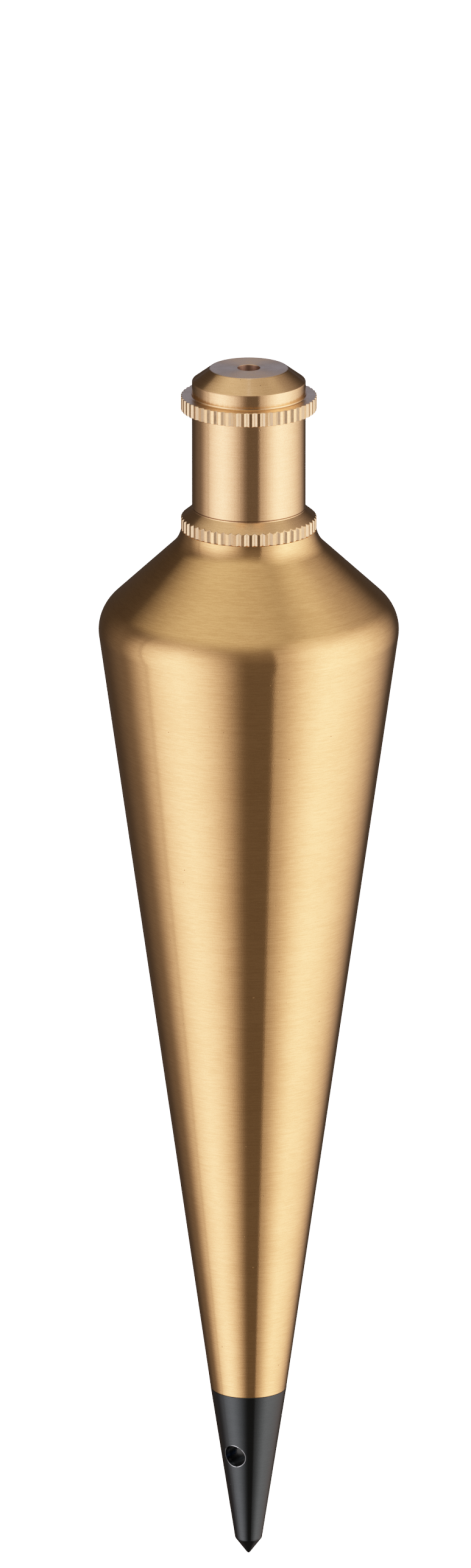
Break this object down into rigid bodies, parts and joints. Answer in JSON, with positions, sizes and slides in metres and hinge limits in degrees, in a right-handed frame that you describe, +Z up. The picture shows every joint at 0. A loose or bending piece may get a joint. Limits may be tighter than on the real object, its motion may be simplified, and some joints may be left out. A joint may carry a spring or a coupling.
{
  "type": "plumb bob",
  "caption": "Long tapered brass plumb bob with a screw-on knurled cap bored for the cord and a screw-in blackened steel tip with a cross hole.",
  "frame": {"origin": "middle of the cap's flat top face, at the mouth of the cord hole that the bob hangs from", "axes": "+Z up along the bob's axis, from the point to the cord; -Y is the front, and the tip's cross hole opens 31 degrees from -Y towards -X"},
  "size_m": [0.0374, 0.0374, 0.1555],
  "materials": {
    "cap_brass": "satin, fine turning marks",
    "body_brass": "satin, fine turning marks",
    "tip_steel": "blackened, semi-gloss"
  },
  "bodies": {
    "body": {"body": "body_brass"},
    "cap": {"cap": "cap_brass"},
    "tip": {"tip": "tip_steel"}
  },
  "joints": [
    {"name": "cap_unscrew", "type": "slide", "parent": "body", "child": "cap", "axis": [0, 0, 1], "range_m": [0, 0.014]},
    {"name": "tip_unscrew", "type": "slide", "parent": "body", "child": "tip", "axis": [0, 0, -1], "range_m": [0, 0.012]}
  ]
}
